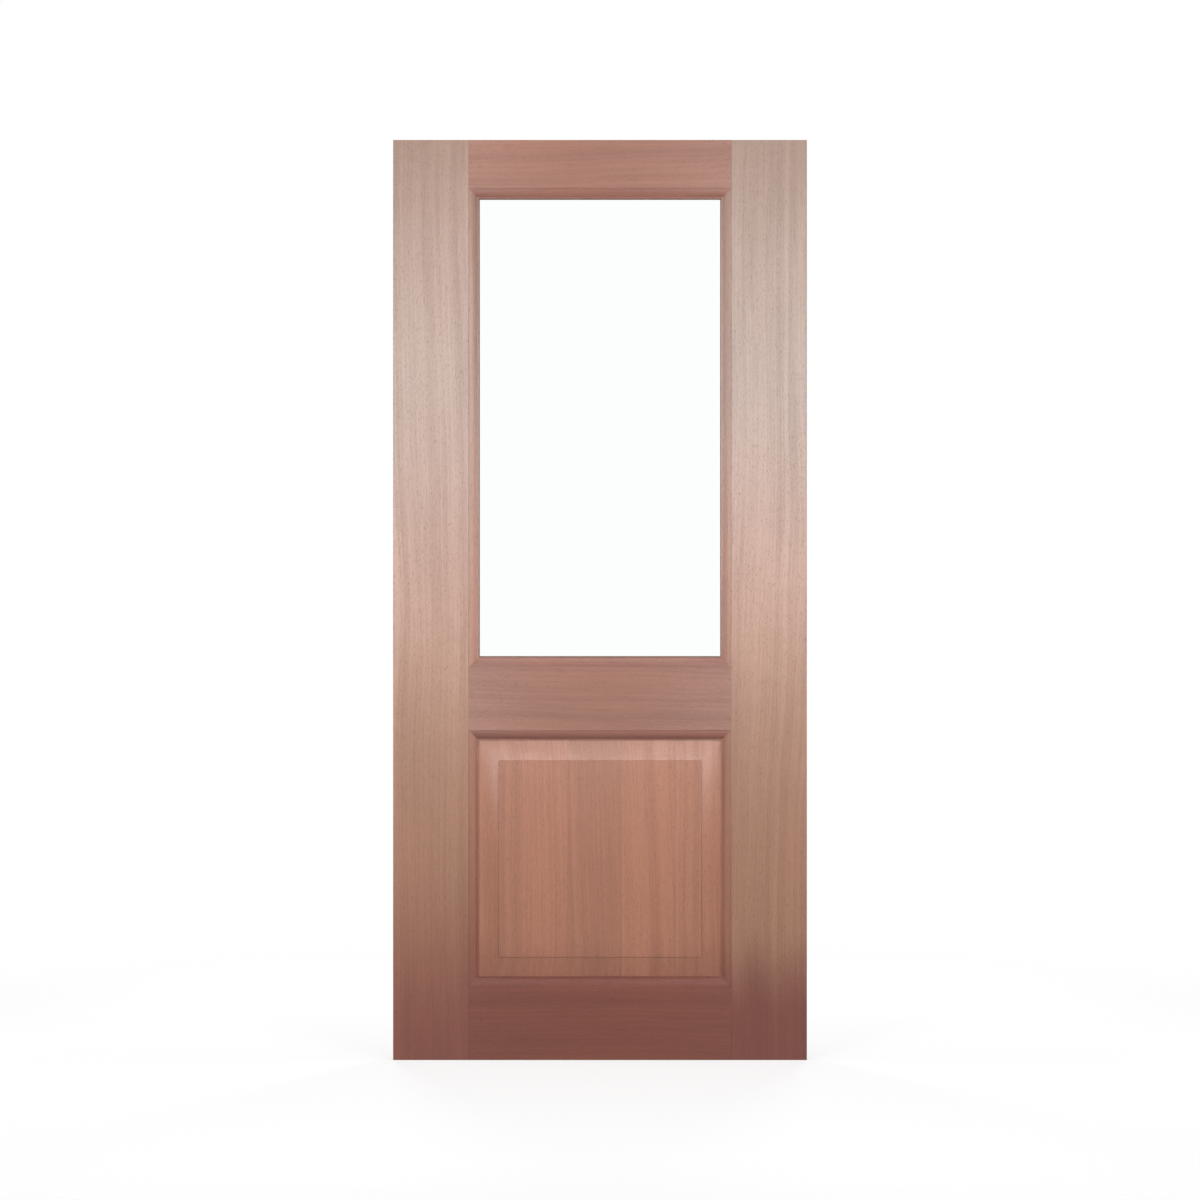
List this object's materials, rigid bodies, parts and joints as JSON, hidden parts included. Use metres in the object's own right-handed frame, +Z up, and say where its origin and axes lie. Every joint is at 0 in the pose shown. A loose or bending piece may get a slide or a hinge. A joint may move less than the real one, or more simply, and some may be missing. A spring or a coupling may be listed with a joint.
{
  "type": "half glazed timber door leaf",
  "caption": "Hardwood external door leaf: moulded stiles and rails, a clear pane above the lock rail and a raised and fielded panel below it.",
  "frame": {"origin": "on the hinge edge, at the foot of the leaf and in the middle of its thickness", "axes": "+X across the leaf from the hinge edge to the lock edge, +Y from the moulded front face (the one pictured) to the beaded back face, +Z up"},
  "size_m": [0.914, 0.044, 2.032],
  "materials": {
    "stile_timber": "pale pinkish brown hardwood, upright grain, satin",
    "rail_timber": "reddish brown hardwood, level grain, satin",
    "panel_timber": "reddish brown hardwood, upright grain, glued from boards, satin",
    "bead_timber": "reddish brown hardwood, satin",
    "wedge_timber": "hardwood wedge, end grain",
    "clear_glass": "clear polished float glass",
    "glazing_tape": "dark brown foam glazing tape, matt",
    "setting_block": "dark plastic"
  },
  "bodies": {
    "root": {"hinge_stile": "stile_timber", "lock_stile": "stile_timber", "top_rail": "rail_timber", "lock_rail": "rail_timber", "bottom_rail": "rail_timber", "raised_panel": "panel_timber", "bead_top": "bead_timber", "bead_bottom": "bead_timber", "bead_hinge_side": "bead_timber", "bead_lock_side": "bead_timber", "hinge_stile_wedge_01": "wedge_timber", "hinge_stile_wedge_02": "wedge_timber", "hinge_stile_wedge_03": "wedge_timber", "hinge_stile_wedge_04": "wedge_timber", "hinge_stile_wedge_05": "wedge_timber", "hinge_stile_wedge_06": "wedge_timber", "hinge_stile_wedge_07": "wedge_timber", "hinge_stile_wedge_08": "wedge_timber", "hinge_stile_wedge_09": "wedge_timber", "hinge_stile_wedge_10": "wedge_timber", "lock_stile_wedge_01": "wedge_timber", "lock_stile_wedge_02": "wedge_timber", "lock_stile_wedge_03": "wedge_timber", "lock_stile_wedge_04": "wedge_timber", "lock_stile_wedge_05": "wedge_timber", "lock_stile_wedge_06": "wedge_timber", "lock_stile_wedge_07": "wedge_timber", "lock_stile_wedge_08": "wedge_timber", "lock_stile_wedge_09": "wedge_timber", "lock_stile_wedge_10": "wedge_timber", "glass_pane": "clear_glass", "front_tape_top": "glazing_tape", "front_tape_bottom": "glazing_tape", "front_tape_hinge_side": "glazing_tape", "front_tape_lock_side": "glazing_tape", "back_tape_top": "glazing_tape", "back_tape_bottom": "glazing_tape", "back_tape_hinge_side": "glazing_tape", "back_tape_lock_side": "glazing_tape", "setting_block_hinge_side": "setting_block", "setting_block_lock_side": "setting_block"}
  },
  "joints": []
}
